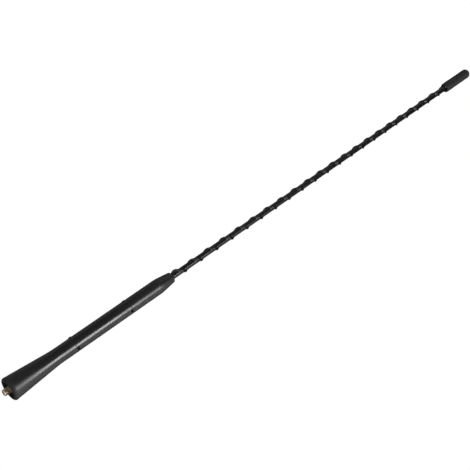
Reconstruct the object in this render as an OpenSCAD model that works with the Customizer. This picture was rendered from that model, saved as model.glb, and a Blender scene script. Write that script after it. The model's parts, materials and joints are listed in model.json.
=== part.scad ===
// Car roof mast aerial: a screw-in whip with a flared moulded foot, a thin mast
// with one spiral ridge against wind noise, and a moulded cap on its tip.
// Millimetres. The origin is on the mast's axis in the plane of the foot's rim,
// which seats on the roof base. +Z runs along the mast to its tip.

/* [Mast] */
// Length from the foot's rim to the tip of the cap
mast_len = 400; // [340:1:460]
// Play between pieces that are moulded, glued or slid onto each other
fit_gap = 0.05; // [0.03:0.01:0.08]

/* [Threaded stud] */
// Outside diameter over the thread
thread_d = 3.95; // [3.4:0.05:4.9]
// How far the stud stands out of the foot
stud_reach = 3; // [2:0.5:10]
// Chamfer on the stud's end
thread_chamfer = 0.5; // [0.3:0.1:0.8]
// Width of the moulded-in hexagon across its flats
collar_af = 7; // [6.6:0.1:8]
// Height of the moulded-in hexagon
collar_h = 3.5; // [2:0.5:5]
// Length of the pegs that the spring is pushed onto
peg_len = 8; // [5:0.5:11]
// Diameter of the cone at the end of each peg
peg_tip_d = 2.6; // [2:0.1:3]

/* [Coupling spring] */
// Outside diameter of the spring
spring_d = 6.2; // [5.6:0.1:6.6]
// Diameter of the spring's wire
spring_wire = 1; // [0.8:0.05:1.1]
// Length of the spring between the two shoulders
spring_len = 26; // [23:0.5:28]
// Air between neighbouring turns
turn_gap = 0.1; // [0.08:0.01:0.3]

/* [Rod ferrule] */
// Outside diameter of the ferrule
ferrule_d = 6; // [5.4:0.1:6.4]
// Depth of the socket that holds the rod
socket_depth = 30; // [15:0.5:40]
// Height of the solder fillet on the ferrule's upper end
solder_h = 1; // [0.5:0.1:1.5]
// Width of the solder fillet
solder_w = 0.7; // [0.4:0.1:1]

/* [Rod and winding] */
// Diameter of the fibreglass rod
rod_d = 2.2; // [1.8:0.05:2.3]
// Diameter of the enamelled wire
wire_d = 0.25; // [0.18:0.01:0.28]
// Length of the close-wound loading coil
coil_len = 18; // [12:0.5:19]
// Bare rod between the loading coil and the jacket
coil_gap = 2; // [1:0.5:4]
// Rise of the open winding in one turn
wire_pitch = 14; // [13:0.5:24]
// Length of bare rod above the open winding
rod_bare = 6; // [3:0.5:12]

/* [Mast jacket] */
// Diameter of the jacket between the turns of its ridge
jacket_d = 3.55; // [3.3:0.05:3.9]
// How deep the jacket sits in the foot
jacket_tuck = 8; // [4:0.5:8]
// Height of the spiral ridge
ridge_h = 0.65; // [0.2:0.05:0.75]
// Width of the ridge at its root, in a cut across the mast
ridge_w = 2.8; // [1.6:0.1:3.4]
// Rise of the ridge in one turn
ridge_pitch = 12.15; // [11.5:0.05:18]
// How far the hand-wound ridge wanders along the mast from an even pitch
ridge_drift = 1.85; // [0:0.05:2.5]
// Length of one such wander
drift_len = 290; // [200:5:400]
// Distance from the foot's mouth to the place where the wander starts
drift_lead = 34; // [0:1:100]
// Distance from the foot's mouth to the first crest on the -X side
ridge_lead = 4.6; // [3:0.05:12]
// Extra height of the ridge where it starts, beside the foot's mouth
ridge_swell = 0.5; // [0:0.05:0.6]
// Length of ridge that is hidden in the cap
ridge_tuck = 8; // [4:0.5:15]

/* [Base sleeve] */
// Length of the moulded foot
sleeve_len = 112.5; // [112:0.5:125]
// Diameter of the foot at its rim, before the edge is rounded
rim_d = 13.6; // [13:0.05:15]
// Rounding of the rim's outer edge
rim_round = 1.2; // [0.3:0.1:1.3]
// Height at which the flare ends in the neck
neck_z = 29.8; // [24:0.1:34]
// Diameter of the neck above the flare
neck_d = 8.85; // [8.5:0.05:9.1]
// Radius that blends the flare into the neck
neck_blend = 70; // [20:5:90]
// Diameter of the sleeve below its upper taper
shoulder_d = 8.95; // [8.5:0.05:9.3]
// Length of the upper taper
taper_len = 9.8; // [8:0.2:12]
// Radius that blends the sleeve into its upper taper
shoulder_blend = 26; // [5:1:40]
// Diameter of the foot at its mouth, before the edge is rounded
mouth_d = 6.35; // [5.8:0.05:6.8]
// Rounding of the mouth's edge
mouth_round = 0.7; // [0.2:0.1:0.7]
// Diameter of the recess around the stud, at the rim
recess_d = 10.2; // [9.4:0.1:10.4]
// Depth of the recess
recess_depth = 6; // [4:0.5:8]
// How much narrower the recess is at its roof
recess_draft = 0.5; // [0.2:0.1:0.8]

/* [Core pin marks] */
// Distance from the ferrule's lower end to the lower ring of marks
lower_marks_in = 6.8; // [5.5:0.1:12]
// Distance from the upper ring of marks to the ferrule's upper end
upper_marks_in = 4.1; // [3:0.1:12]
// Marks in each ring
marks_count = 3; // [2:1:6]
// Angle of the first mark
marks_turn = 72; // [0:1:120]
// Diameter of the hole that each core pin leaves
mark_hole_d = 1.4; // [0.8:0.1:1.6]
// Diameter of the raised lip around each hole
lip_d = 2; // [1.8:0.1:2.2]
// How far the lips of the lower ring stand proud
lower_lip_h = 0.3; // [0.15:0.05:0.5]
// How far the lips of the upper ring stand proud
upper_lip_h = 0.15; // [0.15:0.05:0.4]
// Width of the low bead that joins the marks of a ring
bead_w = 2.4; // [2.3:0.1:2.8]
// How far the beads stand proud
bead_h = 0.1; // [0.05:0.01:0.12]

/* [End cap] */
// Length of the cap
cap_len = 27.5; // [20:0.5:40]
// Diameter of the cap
cap_d = 6.6; // [6.4:0.1:8.2]
// Rounding of the cap's tip
cap_tip_round = 2.8; // [1:0.1:3]
// Rounding of the cap's open edge
cap_mouth_round = 0.8; // [0.2:0.1:0.8]
// Thickness of solid cap above the end of the mast
cap_end_wall = 6.5; // [3:0.5:10]

/* [Hidden] */
$fn = 96;

// Levels of stud and spring, from the seat upwards
collar_z = recess_depth;
spring_z = collar_z + collar_h;
ferrule_z = spring_z + spring_len;
// Levels of jacket and coil, down from the foot's mouth; the ferrule fills what is left
mouth_z = sleeve_len;
jacket_z = mouth_z - jacket_tuck;
coil_top = jacket_z - coil_gap;
coil_z = coil_top - coil_len;
ferrule_top = coil_z - solder_h;
ferrule_len = ferrule_top - ferrule_z;
rod_z = ferrule_top - socket_depth;
// The core pins' marks, over the two ends of the ferrule that the pins hold
lower_marks_z = ferrule_z + lower_marks_in;
upper_marks_z = ferrule_top - upper_marks_in;
// Levels at the tip
cap_z = mast_len - cap_len;
core_top = mast_len - cap_end_wall;

// Steps around one turn of each wound piece, and sides of each wire
spring_steps = 12;
spring_sides = 5;
wire_steps = 12;
wire_sides = 4;
ridge_steps = 10;
core_sides = 9;
arc_steps = 10;
overcut = 1;

// Radii that the pieces share
// How far a chord of one step dips inside its circle
function chord_dip(r, steps) = r * (1 - cos(180 / steps));
spring_r = (spring_d - spring_wire) / 2;
peg_r = spring_r - spring_wire / 2 - chord_dip(spring_r, spring_steps) - fit_gap;
wire_lift = rod_d / 2 + wire_d / 2 + fit_gap / 2;
wire_r = wire_lift / cos(180 / wire_steps);
winding_r = wire_r + wire_d / 2;
jacket_bore_r = winding_r + fit_gap / 2;
jacket_r = jacket_d / 2;
crest_r = jacket_r + ridge_h;
solder_r = rod_d / 2 + solder_w;

// Unit vector and turn of a flat vector
function unit(v) = v / norm(v);
function turned(v) = [-v[1], v[0]];

// A corner at p between a and b, rounded with radius r to a row of points
function rounded_corner(a, p, b, r) =
    let (
        u = unit(a - p),
        v = unit(b - p),
        half = acos(max(-1, min(1, u * v))) / 2,
        side = sign(cross(u, v)),
        centre = p + unit(u + v) * r / sin(half),
        start = p + u * r / tan(half) - centre,
        sweep = 180 - 2 * half
    )
    [for (i = [0 : arc_steps])
        let (a = -side * sweep * i / arc_steps)
        centre + start * cos(a) + turned(start) * sin(a)];

// An outline whose corners are [x, y, radius], with radius 0 for a sharp one
function rounded_outline(corners) =
    let (n = len(corners))
    [for (i = [0 : n - 1])
        let (
            a = corners[(i + n - 1) % n],
            p = corners[i],
            b = corners[(i + 1) % n]
        )
        for (q = p[2] == 0
                ? [[p[0], p[1]]]
                : rounded_corner([a[0], a[1]], [p[0], p[1]], [b[0], b[1]], p[2]))
            q];

// Faces of a tube of rings with sides points each, closed at both ends
function ring_faces(rings, sides) = concat(
    [[for (j = [0 : sides - 1]) j]],
    [for (i = [0 : rings - 2], j = [0 : sides - 1])
        let (k = (j + 1) % sides)
        each [
            [i * sides + j, (i + 1) * sides + j, i * sides + k],
            [i * sides + k, (i + 1) * sides + j, (i + 1) * sides + k]
        ]],
    [[for (j = [sides - 1 : -1 : 0]) (rings - 1) * sides + j]]
);

// A round wire wound to the right on radius r, from height z by rise
module wound_wire(r, wire, z, rise, pitch, steps, sides) {
    rings = round(rise / pitch * steps);
    climb = atan(pitch / (360 * r * PI / 180));
    points = [for (i = [0 : rings], j = [0 : sides - 1])
        let (
            turn = 360 * i / steps,
            around = 360 * (j + 0.5) / sides,
            out = wire / 2 * cos(around),
            across = wire / 2 * sin(around),
            back = across * sin(climb)
        )
        [
            (r + out) * cos(turn) + back * sin(turn),
            (r + out) * sin(turn) - back * cos(turn),
            z + rise * i / rings + across * cos(climb)
        ]];
    polyhedron(points, ring_faces(rings + 1, sides), convexity = 10);
}

// Brass stud: thread, hexagon that the foot is moulded round, and spring peg
module threaded_stud() {
    color("#b59a5c") {
        rotate_extrude()
            polygon([
                [0, -stud_reach],
                [thread_d / 2 - thread_chamfer, -stud_reach],
                [thread_d / 2, thread_chamfer - stud_reach],
                [thread_d / 2, collar_z + overcut],
                [0, collar_z + overcut]
            ]);
        translate([0, 0, collar_z])
            cylinder(h = collar_h, d = collar_af / cos(30), $fn = 6);
        translate([0, 0, spring_z])
            spring_peg();
    }
}

// Peg with a coned end, standing on the plane that the spring seats on
module spring_peg() {
    translate([0, 0, -overcut])
        cylinder(h = peg_len - 1 + overcut, r = peg_r);
    translate([0, 0, peg_len - 1])
        cylinder(h = 1, r1 = peg_r, d2 = peg_tip_d);
}

// Spring of steel wire that lets the foot bend
module coupling_spring() {
    color("#8d9094")
        wound_wire(spring_r, spring_wire, spring_z + spring_wire / 2 + fit_gap,
            spring_len - spring_wire - 2 * fit_gap, spring_wire + turn_gap,
            spring_steps, spring_sides);
}

// Turned brass ferrule: peg for the spring below, socket for the rod above
module rod_ferrule() {
    color("#b08d4a")
        difference() {
            union() {
                translate([0, 0, ferrule_z])
                    cylinder(h = ferrule_len, d = ferrule_d);
                translate([0, 0, ferrule_z])
                    mirror([0, 0, 1])
                        spring_peg();
            }
            translate([0, 0, rod_z])
                cylinder(h = socket_depth + overcut, d = rod_d + 2 * fit_gap);
        }
}

// Solder fillet that joins the winding to the ferrule
module solder_joint() {
    color("#a9abad")
        rotate_extrude()
            polygon([
                [rod_d / 2 + fit_gap, ferrule_top],
                [solder_r, ferrule_top],
                [rod_d / 2 + wire_d, coil_z],
                [rod_d / 2 + fit_gap, coil_z]
            ]);
}

// Fibreglass rod, glued into the ferrule and cut level with the jacket
module fibreglass_rod() {
    color("#d8d2b8")
        translate([0, 0, rod_z])
            cylinder(h = core_top - rod_z, d = rod_d);
}

// Close-wound turns above the ferrule, as one tube
module loading_coil() {
    color("#9c5a2c")
        translate([0, 0, coil_z])
            difference() {
                cylinder(h = coil_len, r = winding_r);
                translate([0, 0, -overcut])
                    cylinder(h = coil_len + 2 * overcut, r = wire_r - wire_d / 2);
            }
}

// Open winding of the same wire up the rod
module antenna_wire() {
    color("#9c5a2c")
        wound_wire(wire_r, wire_d, coil_top + wire_d / 2,
            core_top - rod_bare - coil_top, wire_pitch, wire_steps, wire_sides);
}

// Where the ridge's crest is at height z: its angle, and its height there
function drift(z) = ridge_drift * sin(360 * (z - mouth_z - drift_lead) / drift_len);
function crest_angle(z) = 180 + 360 * (z - drift(z) - mouth_z - ridge_lead) / ridge_pitch;
function smooth(t) = let (c = max(0, min(1, t))) c * c * (3 - 2 * c);
function crest_height(z) = (ridge_h + ridge_swell * exp(-pow((z - mouth_z - 3.2) / 3, 2)))
    * smooth((z - mouth_z) / 1.5) * smooth((cap_z + ridge_tuck - z) / 2);

// Angles of the points around one ring, from the crest: the ridge, then the core
ridge_half = ridge_w / jacket_d * 180 / PI;
core_step = (360 - 2 * ridge_half) / core_sides;
ring_angles = concat(
    [-ridge_half, -ridge_half / 2, 0, ridge_half / 2, ridge_half],
    [for (i = [1 : core_sides - 1]) ridge_half + i * core_step]
);
function ridge_share(a) = abs(a) < ridge_half ? pow(cos(90 * a / ridge_half), 2) : 0;

// Plastic jacket with one spiral ridge to the right, over rod and winding
module mast_jacket() {
    sides = len(ring_angles);
    ridge_top = cap_z + ridge_tuck;
    slices = round((ridge_top - mouth_z) / ridge_pitch * ridge_steps);
    levels = concat(
        [jacket_z],
        [for (i = [0 : slices]) mouth_z + (ridge_top - mouth_z) * i / slices],
        [core_top]
    );
    // The plain ends keep the turn of the ridge's own first and last slice
    function turn_at(z) = crest_angle(max(mouth_z, min(ridge_top, z)));
    points = [for (z = levels, a = ring_angles)
        let (r = jacket_r + crest_height(z) * ridge_share(a))
        [r * cos(turn_at(z) + a), r * sin(turn_at(z) + a), z]];
    color("#1d1e20")
        difference() {
            polyhedron(points, ring_faces(len(levels), sides), convexity = 10);
            translate([0, 0, jacket_z - overcut])
                cylinder(h = core_top - jacket_z + 2 * overcut, r = jacket_bore_r);
        }
}

// Moulded foot: flare, neck, upper taper, recess, and the bore for what it holds
module base_sleeve() {
    color("#232426")
        difference() {
            union() {
                rotate_extrude()
                    polygon(rounded_outline([
                        [0, 0, 0],
                        [rim_d / 2, 0, rim_round],
                        [neck_d / 2, neck_z, neck_blend],
                        [shoulder_d / 2, mouth_z - taper_len, shoulder_blend],
                        [mouth_d / 2, mouth_z, mouth_round],
                        [0, mouth_z, 0]
                    ]));
                witness_bead(lower_marks_z);
                witness_bead(upper_marks_z);
                core_pins(lower_marks_z, lip_d, lower_lip_h);
                core_pins(upper_marks_z, lip_d, upper_lip_h);
            }
            sleeve_bore();
            translate([0, 0, collar_z - overcut])
                cylinder(h = collar_h + overcut, d = (collar_af + 2 * fit_gap) / cos(30), $fn = 6);
            core_pins(lower_marks_z, mark_hole_d, overcut);
            core_pins(upper_marks_z, mark_hole_d, overcut);
        }
}

// Outline of the barrel at height z, between neck and shoulder
function barrel_r(z) = neck_d / 2
    + (shoulder_d - neck_d) / 2 * (z - neck_z) / (mouth_z - taper_len - neck_z);

// Raised bead around the barrel, where two parts of the mould meet
module witness_bead(z) {
    inside_r = ferrule_d / 2 + 3 * fit_gap;
    rotate_extrude()
        polygon([
            [inside_r, z - bead_w / 2],
            [barrel_r(z), z - bead_w / 2],
            [barrel_r(z) + bead_h, z - bead_w / 4],
            [barrel_r(z) + bead_h, z + bead_w / 4],
            [barrel_r(z), z + bead_w / 2],
            [inside_r, z + bead_w / 2]
        ]);
}

// A ring of rods from the ferrule to proud of the barrel: lips, or the core pins' holes
module core_pins(z, d, proud) {
    for (i = [0 : marks_count - 1])
        rotate([0, 0, marks_turn + 360 * i / marks_count])
            translate([ferrule_d / 2 - fit_gap, 0, z])
                rotate([0, 90, 0])
                    cylinder(h = barrel_r(z) + proud - ferrule_d / 2 + fit_gap, d = d, $fn = 32);
}

// Space for the recess, spring, ferrule, solder, coil and jacket, in one turn
module sleeve_bore() {
    recess_slope = recess_draft / recess_depth;
    spring_bore_r = spring_d / 2 + fit_gap;
    ferrule_bore_r = ferrule_d / 2 + fit_gap;
    solder_bore_r = solder_r + fit_gap;
    coil_bore_r = winding_r + fit_gap;
    jacket_tube_r = jacket_r + fit_gap;
    rotate_extrude()
        polygon([
            [0, -overcut],
            [recess_d / 2 + recess_slope * overcut, -overcut],
            [recess_d / 2 - recess_draft, collar_z],
            [spring_bore_r, collar_z],
            [spring_bore_r, ferrule_z],
            [ferrule_bore_r, ferrule_z],
            [ferrule_bore_r, ferrule_top],
            [solder_bore_r, ferrule_top],
            [solder_bore_r, coil_z],
            [coil_bore_r, coil_z],
            [coil_bore_r, jacket_z],
            [jacket_tube_r, jacket_z],
            [jacket_tube_r, mouth_z + overcut],
            [0, mouth_z + overcut]
        ]);
}

// Moulded cap pushed over the end of the mast
module end_cap() {
    bore_r = crest_r + fit_gap;
    color("#2a2b2d")
        difference() {
            rotate_extrude()
                polygon(rounded_outline([
                    [0, cap_z, 0],
                    [cap_d / 2, cap_z, cap_mouth_round],
                    [cap_d / 2, mast_len, cap_tip_round],
                    [0, mast_len, 0]
                ]));
            translate([0, 0, cap_z - overcut])
                cylinder(h = core_top - cap_z + overcut, r = bore_r);
        }
}

threaded_stud();
coupling_spring();
rod_ferrule();
solder_joint();
fibreglass_rod();
loading_coil();
antenna_wire();
mast_jacket();
base_sleeve();
end_cap();
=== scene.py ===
import json
import math

import bmesh
import bpy
import numpy as np
from mathutils import Matrix, Vector


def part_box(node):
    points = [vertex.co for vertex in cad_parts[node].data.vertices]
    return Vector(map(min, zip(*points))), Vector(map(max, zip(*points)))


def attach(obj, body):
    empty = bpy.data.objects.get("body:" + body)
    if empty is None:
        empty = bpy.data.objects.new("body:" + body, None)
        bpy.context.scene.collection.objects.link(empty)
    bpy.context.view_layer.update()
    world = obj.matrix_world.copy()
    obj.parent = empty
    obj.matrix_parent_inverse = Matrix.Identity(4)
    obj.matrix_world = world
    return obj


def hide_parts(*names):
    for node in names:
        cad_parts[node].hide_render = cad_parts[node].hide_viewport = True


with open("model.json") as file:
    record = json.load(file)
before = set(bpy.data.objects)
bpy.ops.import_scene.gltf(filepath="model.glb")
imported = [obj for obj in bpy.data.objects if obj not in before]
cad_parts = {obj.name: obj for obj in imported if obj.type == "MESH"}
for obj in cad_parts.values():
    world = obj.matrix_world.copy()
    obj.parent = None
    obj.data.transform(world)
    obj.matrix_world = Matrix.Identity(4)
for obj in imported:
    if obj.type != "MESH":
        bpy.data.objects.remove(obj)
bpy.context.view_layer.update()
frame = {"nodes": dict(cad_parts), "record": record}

# Threaded stud: a turned brass bar that screws the mast into the roof base. It has an
# M4 thread, a hexagon that the plastic foot grips, and a peg that the spring is pushed
# onto. It is laid in the mould before the foot is shot round it.
MM = 0.001
TURN = 2 * math.pi
mounts = {mount["name"]: mount for mount in frame["record"]["mounts"]}
thread_crest = mounts["stud"]["dims"]["r_mm"] * MM
thread_pitch = 0.7 * MM
thread_depth = 0.42 * MM
# The flats on the thread's crest and in its root, as shares of its pitch
thread_crest_flat = 1 / 8
thread_root_flat = 1 / 4
thread_step = 0.04 * MM
thread_lead_in = 0.6 * MM
thread_relief = 0.6 * MM
collar_bottom = 6 * MM
collar_top = 9.5 * MM
collar_flats = 7 * MM
collar_chamfer = 0.35 * MM
peg_radius = 2.0 * MM
peg_tip_radius = 1.3 * MM
peg_cone = 1 * MM
# Faces that meet at more than this keep a crisp edge
sharp_edge = math.radians(35)
# Points of a mesh that lie closer together than this are one point
same_point = 0.0001 * MM


def angles(count):
    """Evenly spaced angles of one turn round the mast."""
    return np.arange(count) * TURN / count


def ring(height, radius, around):
    """One ring of points round the mast's axis; radius is a number, or one number for each angle."""
    radius = np.broadcast_to(radius, around.shape)
    heights = np.full(around.shape, height)
    return np.stack([radius * np.cos(around), radius * np.sin(around), heights], axis=1)


def skin(name, rings, hollow=False):
    """A closed mesh over rings of points: its ends are closed, or on a hollow piece meet each other."""
    rows, count = len(rings), len(rings[0])
    points = np.concatenate(rings)
    index = np.arange(rows * count).reshape(rows, count)
    low, high = (index, np.roll(index, -1, axis=0)) if hollow else (index[:-1], index[1:])
    next_low, next_high = np.roll(low, -1, axis=1), np.roll(high, -1, axis=1)
    faces = np.stack([low, next_low, next_high, high], axis=-1).reshape(-1, 4).tolist()
    if not hollow:
        faces += [index[0][::-1].tolist(), index[-1].tolist()]
    mesh = bpy.data.meshes.new(name)
    mesh.from_pydata(points.tolist(), [], faces)
    mesh.polygons.foreach_set("use_smooth", [True] * len(faces))
    # Where two rings share points, the faces between them have no area and are welded away
    weld = bmesh.new()
    weld.from_mesh(mesh)
    bmesh.ops.remove_doubles(weld, verts=weld.verts, dist=same_point)
    weld.to_mesh(mesh)
    weld.free()
    mesh.set_sharp_from_angle(angle=sharp_edge)
    mesh.update()
    piece = bpy.data.objects.new(name, mesh)
    bpy.context.scene.collection.objects.link(piece)
    return piece


def fit(piece, node, material):
    """Puts a finished piece on the mast in place of its plain solid."""
    piece.data.materials.append(material)
    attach(piece, "root")
    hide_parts(node)


def hexagon(flats, around):
    """Distance from the axis to a hexagon's edge at each angle."""
    side = TURN / 6
    return flats / 2 / np.cos((around + side / 2) % side - side / 2)


def thread_height(around, height):
    """Share of the thread's depth at each angle; the thread climbs to the right."""
    turn = (height / thread_pitch - around / TURN + 0.5) % 1 - 0.5
    root_edge = (1 - thread_root_flat) / 2
    flank = root_edge - thread_crest_flat / 2
    return np.clip((root_edge - np.abs(turn)) / flank, 0, 1)


def new_finish(name):
    """An empty node material and its shader, with a place for patterns that follow the piece."""
    material = bpy.data.materials.new(name)
    material.use_nodes = True
    nodes = material.node_tree.nodes
    place = nodes.new("ShaderNodeTexCoord").outputs["Object"]
    return material, nodes, material.node_tree.links, nodes["Principled BSDF"], place


def noise(nodes, links, place, scale, detail=4.0, stretch=(1, 1, 1)):
    """A cloudy pattern with spots of about 1 / scale metres, drawn out by stretch."""
    mapping = nodes.new("ShaderNodeMapping")
    mapping.inputs["Scale"].default_value = stretch
    pattern = nodes.new("ShaderNodeTexNoise")
    pattern.inputs["Scale"].default_value = scale
    pattern.inputs["Detail"].default_value = detail
    links.new(place, mapping.inputs["Vector"])
    links.new(mapping.outputs["Vector"], pattern.inputs["Vector"])
    return pattern.outputs["Fac"]


def between(nodes, links, pattern, low, high, cut=(0.3, 0.7)):
    """Carries a pattern to a number between low and high."""
    span = nodes.new("ShaderNodeMapRange")
    span.inputs["From Min"].default_value, span.inputs["From Max"].default_value = cut
    span.inputs["To Min"].default_value, span.inputs["To Max"].default_value = low, high
    links.new(pattern, span.inputs["Value"])
    return span.outputs["Result"]


def tones(nodes, links, pattern, dark, light, cut=(0.35, 0.65)):
    """Carries a pattern to a colour between two tones."""
    ramp = nodes.new("ShaderNodeValToRGB")
    ramp.color_ramp.elements[0].position, ramp.color_ramp.elements[1].position = cut
    ramp.color_ramp.elements[0].color = (*dark, 1)
    ramp.color_ramp.elements[1].color = (*light, 1)
    links.new(pattern, ramp.inputs["Fac"])
    return ramp.outputs["Color"]


def relief(nodes, links, shader, pattern, depth):
    """Raises and lowers the surface a little, by up to depth metres."""
    bump = nodes.new("ShaderNodeBump")
    bump.inputs["Distance"].default_value = depth
    bump.inputs["Strength"].default_value = 1.0
    links.new(pattern, bump.inputs["Height"])
    links.new(bump.outputs["Normal"], shader.inputs["Normal"])


def turned_brass(name):
    """Brass as it leaves the lathe: fine rings from the tool, and a thin dull film in patches."""
    material, nodes, links, shader, place = new_finish(name)
    shader.inputs["Metallic"].default_value = 1.0
    film = noise(nodes, links, place, scale=700)
    tool_marks = noise(nodes, links, place, scale=900, detail=2.0, stretch=(0.05, 0.05, 14))
    colour = tones(nodes, links, film, dark=(0.45, 0.355, 0.235), light=(0.68, 0.58, 0.44))
    links.new(colour, shader.inputs["Base Color"])
    links.new(between(nodes, links, tool_marks, low=0.22, high=0.42), shader.inputs["Roughness"])
    relief(nodes, links, shader, tool_marks, depth=0.006 * MM)
    return material


stud_low, stud_high = (corner.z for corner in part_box("threaded_stud"))
around = angles(count=96)
rings = []
for height in np.arange(stud_low, collar_bottom - thread_relief, thread_step):
    cone = thread_crest - thread_lead_in + (height - stud_low)
    groove = thread_crest - thread_depth + thread_depth * thread_height(around, height)
    rings.append(ring(height, np.minimum(groove, cone), around))
rings.append(ring(collar_bottom - thread_relief, thread_crest - thread_depth, around))
rings.append(ring(collar_bottom, thread_crest - thread_depth, around))
hexagon_edge = hexagon(collar_flats, around)
corner_cone = hexagon_edge.max() - collar_chamfer
for height, limit in (
    (collar_bottom, corner_cone),
    (collar_bottom + collar_chamfer / 2, hexagon_edge.max()),
    (collar_top - collar_chamfer / 2, hexagon_edge.max()),
    (collar_top, corner_cone),
):
    rings.append(ring(height, np.minimum(hexagon_edge, limit), around))
rings.append(ring(collar_top, peg_radius, around))
rings.append(ring(stud_high - peg_cone, peg_radius, around))
rings.append(ring(stud_high, peg_tip_radius, around))
brass = turned_brass("stud_brass")
fit(skin("stud_brass_bar", rings), "threaded_stud", brass)

# Coupling spring: hard-drawn steel wire wound to the right with its turns almost
# touching. It joins stud and ferrule inside the foot, so that the mast gives way
# when it is knocked. It is hidden in the plastic.
spring_wire = 1 * MM
spring_radius = 2.6 * MM
spring_rise = 1.1 * MM


def wound_wire(name, radius, wire, start, end, rise, steps, sides):
    """A round wire wound to the right round the mast's axis, with so many steps to a turn."""
    count = max(2, round((end - start) / rise * steps) + 1)
    climb = math.atan(rise / (TURN * radius))
    around_wire = angles(sides)
    rings = []
    for step in range(count):
        turn = step * TURN / steps
        out = radius + wire / 2 * np.cos(around_wire)
        across = wire / 2 * np.sin(around_wire)
        rings.append(np.stack([
            out * math.cos(turn) + across * math.sin(climb) * math.sin(turn),
            out * math.sin(turn) - across * math.sin(climb) * math.cos(turn),
            start + (end - start) * step / (count - 1) + across * math.cos(climb),
        ], axis=1))
    return skin(name, [section[::-1] for section in rings])


def drawn_steel(name):
    """Spring wire: dark grey steel with fine lines from the drawing die."""
    material, nodes, links, shader, place = new_finish(name)
    shader.inputs["Metallic"].default_value = 1.0
    oil = noise(nodes, links, place, scale=900)
    lines = noise(nodes, links, place, scale=2500, detail=2.0)
    colour = tones(nodes, links, oil, dark=(0.3, 0.31, 0.33), light=(0.5, 0.5, 0.51))
    links.new(colour, shader.inputs["Base Color"])
    links.new(between(nodes, links, lines, low=0.25, high=0.4), shader.inputs["Roughness"])
    relief(nodes, links, shader, lines, depth=0.004 * MM)
    return material


spring_low, spring_high = (corner.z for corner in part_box("coupling_spring"))
spring = wound_wire("coupling_spring_coil", spring_radius, spring_wire,
    start=spring_low + spring_wire / 2, end=spring_high - spring_wire / 2,
    rise=spring_rise, steps=40, sides=10)
fit(spring, "coupling_spring", drawn_steel("spring_steel"))

# Rod ferrule and its solder: a turned brass tube with a peg for the spring and a socket
# for the rod, and the tin that joins the winding to its upper end. Both keep their
# solids' shape and are hidden in the foot.


def dull_tin(name):
    """Solder as it sets: grey, with a slightly frosted skin."""
    material, nodes, links, shader, place = new_finish(name)
    shader.inputs["Metallic"].default_value = 1.0
    frost = noise(nodes, links, place, scale=3000)
    colour = tones(nodes, links, frost, dark=(0.45, 0.45, 0.46), light=(0.66, 0.66, 0.65))
    links.new(colour, shader.inputs["Base Color"])
    links.new(between(nodes, links, frost, low=0.3, high=0.55), shader.inputs["Roughness"])
    relief(nodes, links, shader, frost, depth=0.01 * MM)
    return material


def finish_solid(node, material):
    """Gives a solid that keeps its own shape its finish."""
    mesh = frame["nodes"][node].data
    mesh.materials.clear()
    mesh.materials.append(material)


finish_solid("rod_ferrule", brass)
finish_solid("solder_joint", dull_tin("solder_tin"))

# Fibreglass rod: the mast's springy core, drawn from glass fibre and clear resin and
# cut to length. It is glued into the ferrule's socket and keeps its solid's shape.


def drawn_fibreglass(name):
    """Straw-coloured resin with pale fibres that run the length of the rod."""
    material, nodes, links, shader, place = new_finish(name)
    fibres = noise(nodes, links, place, scale=6000, detail=3.0, stretch=(1, 1, 0.01))
    colour = tones(nodes, links, fibres, dark=(0.5, 0.43, 0.26), light=(0.72, 0.68, 0.52))
    links.new(colour, shader.inputs["Base Color"])
    links.new(between(nodes, links, fibres, low=0.25, high=0.4), shader.inputs["Roughness"])
    relief(nodes, links, shader, fibres, depth=0.004 * MM)
    return material


finish_solid("fibreglass_rod", drawn_fibreglass("drawn_fibreglass"))

# Aerial wire: one length of enamelled copper wire, close-wound as the loading coil just
# above the ferrule and then openly up the rod. It is wound on before the jacket goes
# over it.
copper_wire = 0.25 * MM
copper_radius = 1.26 * MM
coil_rise = 1.04 * copper_wire
open_rise = 14 * MM


def enamelled_copper(name):
    """Copper under clear amber enamel, in patches of a lighter and a darker tone."""
    material, nodes, links, shader, place = new_finish(name)
    shader.inputs["Metallic"].default_value = 0.85
    shader.inputs["Coat Weight"].default_value = 0.6
    thick = noise(nodes, links, place, scale=1200)
    colour = tones(nodes, links, thick, dark=(0.34, 0.1, 0.03), light=(0.58, 0.2, 0.07))
    links.new(colour, shader.inputs["Base Color"])
    links.new(between(nodes, links, thick, low=0.18, high=0.3), shader.inputs["Roughness"])
    return material


copper = enamelled_copper("enamelled_copper")
coil_low, coil_high = (corner.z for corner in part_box("loading_coil"))
wire_low, wire_high = (corner.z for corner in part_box("antenna_wire"))
coil = wound_wire("loading_coil_turns", copper_radius, copper_wire,
    start=coil_low + copper_wire / 2, end=coil_high - copper_wire / 2,
    rise=coil_rise, steps=24, sides=6)
fit(coil, "loading_coil", copper)
winding = wound_wire("open_winding", copper_radius, copper_wire,
    start=wire_low + copper_wire / 2, end=wire_high - copper_wire / 2,
    rise=open_rise, steps=48, sides=8)
fit(winding, "antenna_wire", copper)

# Mast jacket: a thin black plastic skin over rod and winding. Its one spiral ridge
# turns to the right and keeps the wind from making the mast sing. The ridge's pitch
# drifts a little along the mast, and it stands higher beside the foot's mouth.
jacket_radius = 1.775 * MM
jacket_bore = 1.45 * MM
ridge_height = 0.65 * MM
ridge_width = 2.8 * MM
ridge_pitch = 12.15 * MM
ridge_drift = 1.85 * MM
drift_length = 290 * MM
drift_lead = 34 * MM
ridge_lead = 4.6 * MM
ridge_swell = 0.5 * MM
swell_lead = 3.2 * MM
swell_length = 3 * MM
ridge_run_in = 1.5 * MM
ridge_run_out = 2 * MM
ridge_tuck = 8 * MM
jacket_levels = 820

foot_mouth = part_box("base_sleeve")[1].z
cap_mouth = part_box("end_cap")[0].z
jacket_low, jacket_high = (corner.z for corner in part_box("mast_jacket"))


def smooth(share):
    """A soft step from 0 to 1."""
    share = np.clip(share, 0, 1)
    return share * share * (3 - 2 * share)


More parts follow.
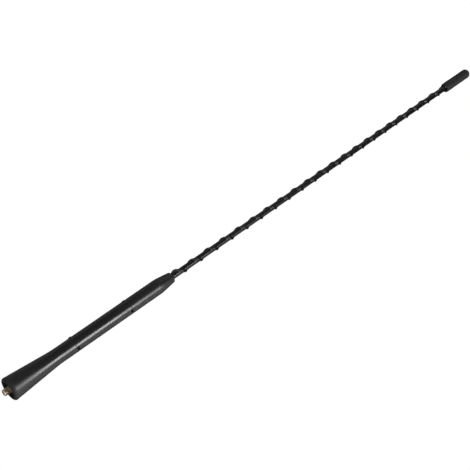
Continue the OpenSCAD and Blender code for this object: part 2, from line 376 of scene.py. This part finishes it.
def crest_angle(height):
    """The angle at which the ridge passes a height."""
    drift = ridge_drift * math.sin(TURN * (height - foot_mouth - drift_lead) / drift_length)
    return math.pi + TURN * (height - drift - foot_mouth - ridge_lead) / ridge_pitch


def crest_height(height):
    """How proud the ridge stands at a height."""
    swell = ridge_swell * math.exp(-((height - foot_mouth - swell_lead) / swell_length) ** 2)
    begins = smooth((height - foot_mouth) / ridge_run_in)
    ends = smooth((cap_mouth + ridge_tuck - height) / ridge_run_out)
    return (ridge_height + swell) * begins * ends


def moulded_black(name, dark, light, gloss, grain, grain_depth, specular):
    """Black plastic from a mould: a fine grain, faint clouds in its tone, and a patchy sheen."""
    material, nodes, links, shader, place = new_finish(name)
    shader.inputs["Specular IOR Level"].default_value = specular
    clouds = noise(nodes, links, place, scale=120)
    handling = noise(nodes, links, place, scale=260, detail=3.0, stretch=(1, 1, 0.35))
    texture = noise(nodes, links, place, scale=grain, detail=2.0)
    links.new(tones(nodes, links, clouds, dark, light), shader.inputs["Base Color"])
    links.new(between(nodes, links, handling, *gloss), shader.inputs["Roughness"])
    relief(nodes, links, shader, texture, depth=grain_depth)
    return material


around = angles(count=64)
ridge_half = ridge_width / 2 / jacket_radius
rings = []
for height in np.linspace(jacket_low, jacket_high, jacket_levels):
    off_crest = np.abs((around - crest_angle(height) + math.pi) % TURN - math.pi)
    hump = np.where(off_crest < ridge_half, np.cos(off_crest / ridge_half * math.pi / 2) ** 2, 0)
    rings.append(ring(height, jacket_radius + crest_height(height) * hump, around))
rings.append(ring(jacket_high, jacket_bore, around))
rings.append(ring(jacket_low, jacket_bore, around))
jacket_black = moulded_black("jacket_plastic", dark=(0.0045, 0.0045, 0.0047),
    light=(0.006, 0.006, 0.0063), gloss=(0.24, 0.32), grain=5000, grain_depth=0.008 * MM,
    specular=0.46)
fit(skin("spiral_jacket", rings, hollow=True), "mast_jacket", jacket_black)

# Base sleeve: the foot, one shot of satin black plastic round stud, spring and ferrule.
# It flares to a thin rim that seats on the roof base. Pins in the mould hold the ferrule
# in the middle, and leave two rings of small holes, each with a raised lip.
rim_radius = 6.785 * MM
rim_round = 1.2 * MM
neck_height = 29.8 * MM
neck_radius = 4.425 * MM
neck_blend = 70 * MM
shoulder_radius = 4.475 * MM
taper_length = 9.8 * MM
shoulder_blend = 26 * MM
mouth_radius = 3.175 * MM
mouth_round = 0.7 * MM
recess_radius = 5.1 * MM
recess_draft = 0.5 * MM
# Height of each ring of marks, and how far its lips stand proud
lips_at = {42.3 * MM: 0.3 * MM, 79.4 * MM: 0.15 * MM}
lip_radius = 1.0 * MM
lip_edge = 0.16 * MM
bead_height = 0.04 * MM
bead_width = 2.4 * MM
mark_count = 3
first_mark = math.radians(72)
mark_hole = 0.7 * MM
mark_hole_edge = 0.12 * MM
mark_floor = 3.2 * MM
# Steps between the rings of the mesh, along the barrel and over the marks
barrel_start = 1.5 * MM
barrel_step = 0.8 * MM
fine_step = 0.1 * MM
# The bore, from the mouth down: radius around each piece that the foot is moulded round
mouth_bore = 1.8 * MM
jacket_seat = 1.82 * MM
coil_pocket = 1.44 * MM
solder_pocket = 1.85 * MM
ferrule_pocket = 3.05 * MM
spring_pocket = 3.15 * MM
ferrule_shoulder = 35.5 * MM
collar_gap = 0.05 * MM
# Where the sheen is scuffed, and where shade is painted into holes, recess and rim. The
# rim's painted shade goes all round: nothing of the foot lies further out than its radius.
rim_scuff_top = 24 * MM
shoulder_scuff = (62 * MM, 90 * MM)
mark_shade_radius = 4.1 * MM
rim_shade_radius = 2 * rim_radius
rim_shade_top = 2.4 * MM
rim_shade_fade = 2.2 * MM
shade_edge = 0.1 * MM
# The tone of the painted shade
painted_shade_colour = (0.003, 0.003, 0.003, 1)

ferrule_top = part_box("rod_ferrule")[1].z


def rounded(corners, steps=12):
    """An outline of (radius, height) points, from corners given as (radius, height, rounding)."""
    points = [Vector(corners[0][:2])]
    for before, corner, after in zip(corners, corners[1:], corners[2:]):
        tip = Vector(corner[:2])
        back = (Vector(before[:2]) - tip).normalized()
        onward = (Vector(after[:2]) - tip).normalized()
        half = back.angle(onward) / 2
        middle = (back + onward).normalized()
        across = (onward - back).normalized()
        centre = tip + middle * corner[2] / math.sin(half)
        sweep = math.pi / 2 - half
        for step in range(steps + 1):
            turn = sweep * (2 * step / steps - 1)
            outward = across * math.sin(turn) - middle * math.cos(turn)
            points.append(centre + outward * corner[2])
    return points + [Vector(corners[-1][:2])]


def with_marks(around, height, radius):
    """The barrel's radius at each angle, with the low beads, the lips and the core pins' holes."""
    surface = np.full(around.shape, radius)
    for marks_height, proud in lips_at.items():
        off = height - marks_height
        surface += bead_height * smooth((bead_width / 2 - abs(off)) / (bead_width / 2))
        if abs(off) > bead_width / 2:
            continue
        for mark in range(mark_count):
            turn = (around - first_mark - mark * TURN / mark_count + math.pi) % TURN - math.pi
            near = np.abs(turn) < TURN / mark_count / 4
            distance = np.hypot(np.sin(turn) * radius, off)
            flat_top = (radius + proud) / np.cos(np.where(near, turn, 0))
            lip = near * smooth((lip_radius - distance) / lip_edge + 0.5)
            hole = near * smooth((mark_hole - distance) / mark_hole_edge + 0.5)
            surface += (flat_top - surface) * lip
            surface += (mark_floor - surface) * hole
    return surface


def place_on_mast(nodes, links):
    """A point's height over the rim, and its distance from the mast's axis."""
    place = nodes.new("ShaderNodeTexCoord").outputs["Object"]
    parts = nodes.new("ShaderNodeSeparateXYZ")
    links.new(place, parts.inputs["Vector"])
    flat = nodes.new("ShaderNodeVectorMath")
    flat.operation = "MULTIPLY"
    flat.inputs[1].default_value = (1, 1, 0)
    links.new(place, flat.inputs[0])
    reach = nodes.new("ShaderNodeVectorMath")
    reach.operation = "LENGTH"
    links.new(flat.outputs["Vector"], reach.inputs[0])
    return parts.outputs["Z"], reach.outputs["Value"]


def scuff_the_ends(material):
    """Dulls the sheen towards the rim and the shoulder; the hand polishes the barrel between them."""
    nodes, links = material.node_tree.nodes, material.node_tree.links
    shader = nodes["Principled BSDF"]
    height = place_on_mast(nodes, links)[0]
    ends = (
        between(nodes, links, height, low=0.18, high=0.0, cut=(0, rim_scuff_top)),
        between(nodes, links, height, low=0.0, high=0.08, cut=shoulder_scuff),
    )
    for dull in ends:
        total = nodes.new("ShaderNodeMath")
        links.new(shader.inputs["Roughness"].links[0].from_socket, total.inputs[0])
        links.new(dull, total.inputs[1])
        links.new(total.outputs["Value"], shader.inputs["Roughness"])


def paint_shade(material, within, low, high, edge, amount):
    """Painted shade: dark and dull on what lies nearer the axis than within, between two heights."""
    nodes, links = material.node_tree.nodes, material.node_tree.links
    shader = nodes["Principled BSDF"]
    height, reach = place_on_mast(nodes, links)
    inside = between(nodes, links, reach, amount, 0.0, cut=(within - edge, within + edge))
    limits = (
        between(nodes, links, height, 0.0, 1.0, cut=(low, low + edge)),
        between(nodes, links, height, 1.0, 0.0, cut=(high - edge, high)),
    )
    for limit in limits:
        both = nodes.new("ShaderNodeMath")
        both.operation = "MULTIPLY"
        links.new(inside, both.inputs[0])
        links.new(limit, both.inputs[1])
        inside = both.outputs["Value"]
    for name, shade_tone in (("Base Color", painted_shade_colour), ("Roughness", (1, 1, 1, 1))):
        mix = nodes.new("ShaderNodeMix")
        mix.data_type = "RGBA"
        links.new(inside, mix.inputs["Factor"])
        links.new(shader.inputs[name].links[0].from_socket, mix.inputs["A"])
        mix.inputs["B"].default_value = shade_tone
        links.new(mix.outputs["Result"], shader.inputs[name])


outline = rounded([
    (recess_radius, 0, 0),
    (rim_radius, 0, rim_round),
    (neck_radius, neck_height, neck_blend),
    (shoulder_radius, foot_mouth - taper_length, shoulder_blend),
    (mouth_radius, foot_mouth, mouth_round),
    (jacket_radius, foot_mouth, 0),
])
outline_radius, outline_height = (np.array(column) for column in zip(*outline))
levels = list(outline_height[1:-1])
levels += list(np.arange(barrel_start, foot_mouth - taper_length, barrel_step))
fine_rings = round(bead_width / 2 / fine_step) + 1
for marks_height in lips_at:
    levels += list(marks_height + fine_step * np.arange(-fine_rings, fine_rings + 1))
around = angles(count=288)
rings = [ring(0, recess_radius, around)]
for height in sorted(set(levels)):
    radius = np.interp(height, outline_height[1:-1], outline_radius[1:-1])
    rings.append(ring(height, with_marks(around, height, radius), around))
for radius, height in (
    (mouth_bore, foot_mouth),
    (jacket_seat, jacket_low),
    (coil_pocket, jacket_low),
    (coil_pocket, coil_low),
    (solder_pocket, coil_low),
    (solder_pocket, ferrule_top),
    (ferrule_pocket, ferrule_top),
    (ferrule_pocket, ferrule_shoulder),
    (spring_pocket, ferrule_shoulder),
    (spring_pocket, collar_top),
):
    rings.append(ring(height, radius, around))
collar_pocket = hexagon(collar_flats + 2 * collar_gap, around)
rings.append(ring(collar_top, collar_pocket, around))
rings.append(ring(collar_bottom, collar_pocket, around))
rings.append(ring(collar_bottom, recess_radius - recess_draft, around))
foot_black = moulded_black("foot_plastic", dark=(0.0155, 0.0155, 0.0159),
    light=(0.0185, 0.0185, 0.019), gloss=(0.22, 0.28), grain=4200, grain_depth=0.002 * MM,
    specular=0.46)
scuff_the_ends(foot_black)
# Painted shade: the core pins' holes are darkened and dulled inside
for marks_height in lips_at:
    paint_shade(foot_black, mark_shade_radius, low=marks_height - lip_radius,
        high=marks_height + lip_radius, edge=shade_edge, amount=1.0)
# Painted shade: the recess inside the rim is darkened and dulled
paint_shade(foot_black, recess_radius + shade_edge, low=shade_edge, high=collar_top,
    edge=shade_edge, amount=1.0)
# Painted shade: the rim end is darkened and dulled, fading out a little above it
paint_shade(foot_black, rim_shade_radius, low=-rim_shade_fade, high=rim_shade_top,
    edge=rim_shade_fade, amount=0.8)
fit(skin("moulded_foot", rings, hollow=True), "base_sleeve", foot_black)

# End cap: a matt black moulding pushed over the end of the mast, so that no sharp rod
# end stands free. It bulges a little where it is stretched over the end of the ridge.
cap_radius = 3.3 * MM
cap_tip_round = 2.8 * MM
cap_edge_round = 0.8 * MM
cap_bore = 2.46 * MM
cap_end_wall = 6.5 * MM
bulge_height = 0.11 * MM
bulge_length = 2.2 * MM
# How far along the ridge's tucked-in end the bulge is highest, as a share
bulge_share = 0.7
# A closed end stops at this radius, so that no ring of the mesh shrinks to a point
end_radius = 0.02 * MM
wall_levels = 60
wall_margin = 0.2 * MM

cap_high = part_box("end_cap")[1].z
bulge_middle = cap_mouth + bulge_share * ridge_tuck
wall_low = cap_mouth + cap_edge_round + wall_margin
wall_high = cap_high - cap_tip_round - wall_margin
outline = rounded([
    (cap_bore, cap_mouth, 0),
    (cap_radius, cap_mouth, cap_edge_round),
    (cap_radius, cap_high, cap_tip_round),
    (end_radius, cap_high, 0),
], steps=20)
outline_radius, outline_height = (np.array(column) for column in zip(*outline))
levels = list(outline_height[1:-1]) + list(np.linspace(wall_low, wall_high, wall_levels))
around = angles(count=96)
rings = [
    ring(cap_high - cap_end_wall, end_radius, around),
    ring(cap_high - cap_end_wall, cap_bore, around),
    ring(cap_mouth, cap_bore, around),
]
for height in sorted(set(levels)):
    radius = np.interp(height, outline_height[1:-1], outline_radius[1:-1])
    bulge = bulge_height * math.exp(-((height - bulge_middle) / bulge_length) ** 2)
    rings.append(ring(height, radius + bulge, around))
rings.append(ring(cap_high, end_radius, around))
cap_black = moulded_black("cap_plastic", dark=(0.017, 0.017, 0.0175),
    light=(0.021, 0.021, 0.0215), gloss=(0.5, 0.62), grain=3000, grain_depth=0.012 * MM,
    specular=0.3)
fit(skin("moulded_cap", rings), "end_cap", cap_black)

# Studio: a pale floor below the mast, a softbox in front and to the right that draws the
# long highlight, a fill and a top light that give no gleam, and a glow that gives nothing
# else. A dark screen, which only reflections see, stands round them in a white room.
floor_height = -0.2
floor_radius = 2.4
screen_radius = 3.0
screen_bottom, screen_top = math.radians(-5), math.radians(88.854)
screen_columns, screen_rows = 96, 40
# The screen is black in front and to the right, grey behind and to the left in front, and
# pale to the left. High on the left in front it is a blind, with every other strip open.
black_to = math.radians(140)
pale_from, pale_to = math.radians(215), math.radians(280)
blind_from, blind_to = math.radians(280), math.radians(335)
blind_bottom = math.radians(32)
# A cloth on the floor behind the mast, also for reflections alone
cloth_height = floor_height + 0.004
cloth_half_width = 1.3
cloth_near, cloth_far = 0.25, 2.0
# The lamps face this height, the middle of the foot
lamp_aim = 0.06


def toward(side, rise):
    """Direction seen from the mast: side turns from the viewer to the right, rise is upwards."""
    return Vector((math.sin(side) * math.cos(rise), -math.cos(side) * math.cos(rise), math.sin(rise)))


def paper(name, tone):
    """Plain matt paper or cloth of one grey."""
    material, nodes, links, shader, place = new_finish(name)
    fibres = noise(nodes, links, place, scale=3)
    greys = [(grey, grey, grey) for grey in (tone * 0.97, tone)]
    links.new(tones(nodes, links, fibres, *greys), shader.inputs["Base Color"])
    shader.inputs["Roughness"].default_value = 0.9
    shader.inputs["Specular IOR Level"].default_value = 0.1
    return material


def background_rays(nodes, links):
    """1 for what the camera, a gleam or a clear piece sees of the background, otherwise 0."""
    ray = nodes.new("ShaderNodeLightPath")
    seen = ray.outputs["Is Camera Ray"]
    for kind in ("Is Glossy Ray", "Is Transmission Ray"):
        either = nodes.new("ShaderNodeMath")
        either.operation = "MAXIMUM"
        links.new(seen, either.inputs[0])
        links.new(ray.outputs[kind], either.inputs[1])
        seen = either.outputs["Value"]
    return seen


def lift(material, strength):
    """Makes a paper paler where it is seen, with no more light on the mast."""
    nodes, links = material.node_tree.nodes, material.node_tree.links
    shader = nodes["Principled BSDF"]
    shader.inputs["Emission Color"].default_value = (1, 1, 1, 1)
    glow = between(nodes, links, background_rays(nodes, links), low=0.0, high=strength, cut=(0, 1))
    links.new(glow, shader.inputs["Emission Strength"])
    return material


def stage_mesh(name, points, faces, papers):
    """A floor or screen of one or more papers."""
    mesh = bpy.data.meshes.new(name)
    mesh.from_pydata(points, [], faces)
    for material in papers:
        mesh.materials.append(material)
    board = bpy.data.objects.new(name, mesh)
    bpy.context.scene.collection.objects.link(board)
    return board


def only_in_reflections(board):
    """Hides a screen from the camera, and from the light that falls on the mast and the floor."""
    board.visible_camera = board.visible_diffuse = board.visible_shadow = False


def paper_on(side):
    """Which of the screen's papers hangs on a side of the mast: grey, pale or black."""
    if pale_from < side < pale_to:
        return 1
    if side < black_to:
        return 2
    return 0


edge = [toward(side, 0) * floor_radius + Vector((0, 0, floor_height)) for side in angles(count=96)]
floor_paper = lift(paper("floor_paper", tone=0.82), strength=0.3)
floor = stage_mesh("floor", edge, [list(range(len(edge)))], [floor_paper])

sides = [TURN * column / screen_columns for column in range(screen_columns)]
rises = [screen_bottom + (screen_top - screen_bottom) * row / screen_rows
    for row in range(screen_rows + 1)]
panels = []
panel_papers = []
for row in range(screen_rows):
    lower, upper = row * screen_columns, (row + 1) * screen_columns
    for column, side in enumerate(sides):
        if column % 2 and rises[row] > blind_bottom and blind_from < side < blind_to:
            continue
        beside = (column + 1) % screen_columns
        panels.append([lower + column, lower + beside, upper + beside, upper + column])
        panel_papers.append(paper_on(side))
places = [toward(side, rise) * screen_radius for rise in rises for side in sides]
papers = [
    paper("grey_paper", tone=0.12),
    paper("pale_paper", tone=0.7),
    paper("black_paper", tone=0.06),
]
screen = stage_mesh("dark_screen", places, panels, papers)
screen.data.polygons.foreach_set("material_index", panel_papers)
only_in_reflections(screen)

corners = [
    (-cloth_half_width, cloth_near, cloth_height),
    (cloth_half_width, cloth_near, cloth_height),
    (cloth_half_width, cloth_far, cloth_height),
    (-cloth_half_width, cloth_far, cloth_height),
]
cloth = stage_mesh("dark_cloth", corners, [[0, 1, 2, 3]], [paper("black_cloth", tone=0.05)])
only_in_reflections(cloth)


def softbox(name, side, rise, distance, width, height, power):
    """A soft panel of light that faces the foot of the mast."""
    lamp = bpy.data.lights.new(name, "AREA")
    lamp.shape = "RECTANGLE"
    lamp.size, lamp.size_y = width, height
    lamp.energy = power
    panel = bpy.data.objects.new(name, lamp)
    bpy.context.scene.collection.objects.link(panel)
    out = toward(math.radians(side), math.radians(rise))
    panel.location = out * distance + Vector((0, 0, lamp_aim))
    panel.rotation_euler = out.to_track_quat("Z", "Y").to_euler()
    panel.visible_camera = False
    return panel


softbox("key_softbox", side=34, rise=20, distance=1.25, width=0.55, height=0.25, power=8.4)
fill = softbox("side_fill", side=86, rise=-8, distance=1.2, width=0.25, height=0.25, power=2.9)
fill.data.spread = math.radians(50)
fill.visible_glossy = False
# The fill stands close over the floor, so its light is kept off the paper
kept_from_fill = bpy.data.collections.new("kept_from_fill")
kept_from_fill.objects.link(floor)
fill.light_linking.receiver_collection = kept_from_fill
kept_from_fill.collection_objects[0].light_linking.link_state = "EXCLUDE"
glow = softbox("side_glow", side=75, rise=20, distance=0.62, width=0.7, height=0.55, power=0.6)
glow.visible_diffuse = False
top_light = bpy.data.lights.new("top_light", "SUN")
top_light.energy = 0.8
top_light.angle = math.radians(20)
overhead = bpy.data.objects.new("top_light", top_light)
bpy.context.scene.collection.objects.link(overhead)
overhead.visible_glossy = False

world = bpy.data.worlds.new("white_room")
world.use_nodes = True
nodes, links = world.node_tree.nodes, world.node_tree.links
room = between(nodes, links, background_rays(nodes, links), low=0.2, high=1.0, cut=(0, 1))
links.new(room, nodes["Background"].inputs["Strength"])
nodes["Background"].inputs["Color"].default_value = (1, 1, 1, 1)
bpy.context.scene.world = world

# Camera: in front of the foot and below it, looking up along the mast, and rolled so
# that the mast lies across the picture as in the photograph.
photo_side = 470
focal_pixels = 959.5
# In millimetres, as Blender counts it
film_width = 36
camera_place = Vector((0.87, -494.6, -126.6)) * MM
camera_rise = math.radians(30.34)
camera_roll = math.radians(34.75)
camera_data = bpy.data.cameras.new("camera")
camera_data.sensor_width = film_width
camera_data.lens = film_width * focal_pixels / photo_side
camera_data.clip_start = 0.01
camera = bpy.data.objects.new("camera", camera_data)
bpy.context.scene.collection.objects.link(camera)
sight = Vector((0, math.cos(camera_rise), math.sin(camera_rise)))
level = Vector((0, -math.sin(camera_rise), math.cos(camera_rise)))
right = level * math.cos(camera_roll) + Vector((1, 0, 0)) * math.sin(camera_roll)
above = level * math.sin(camera_roll) - Vector((1, 0, 0)) * math.cos(camera_roll)
turned = Matrix((right, above, -sight)).transposed().to_4x4()
camera.matrix_world = Matrix.Translation(camera_place) @ turned
bpy.context.scene.camera = camera
bpy.context.scene.view_settings.view_transform = "Standard"
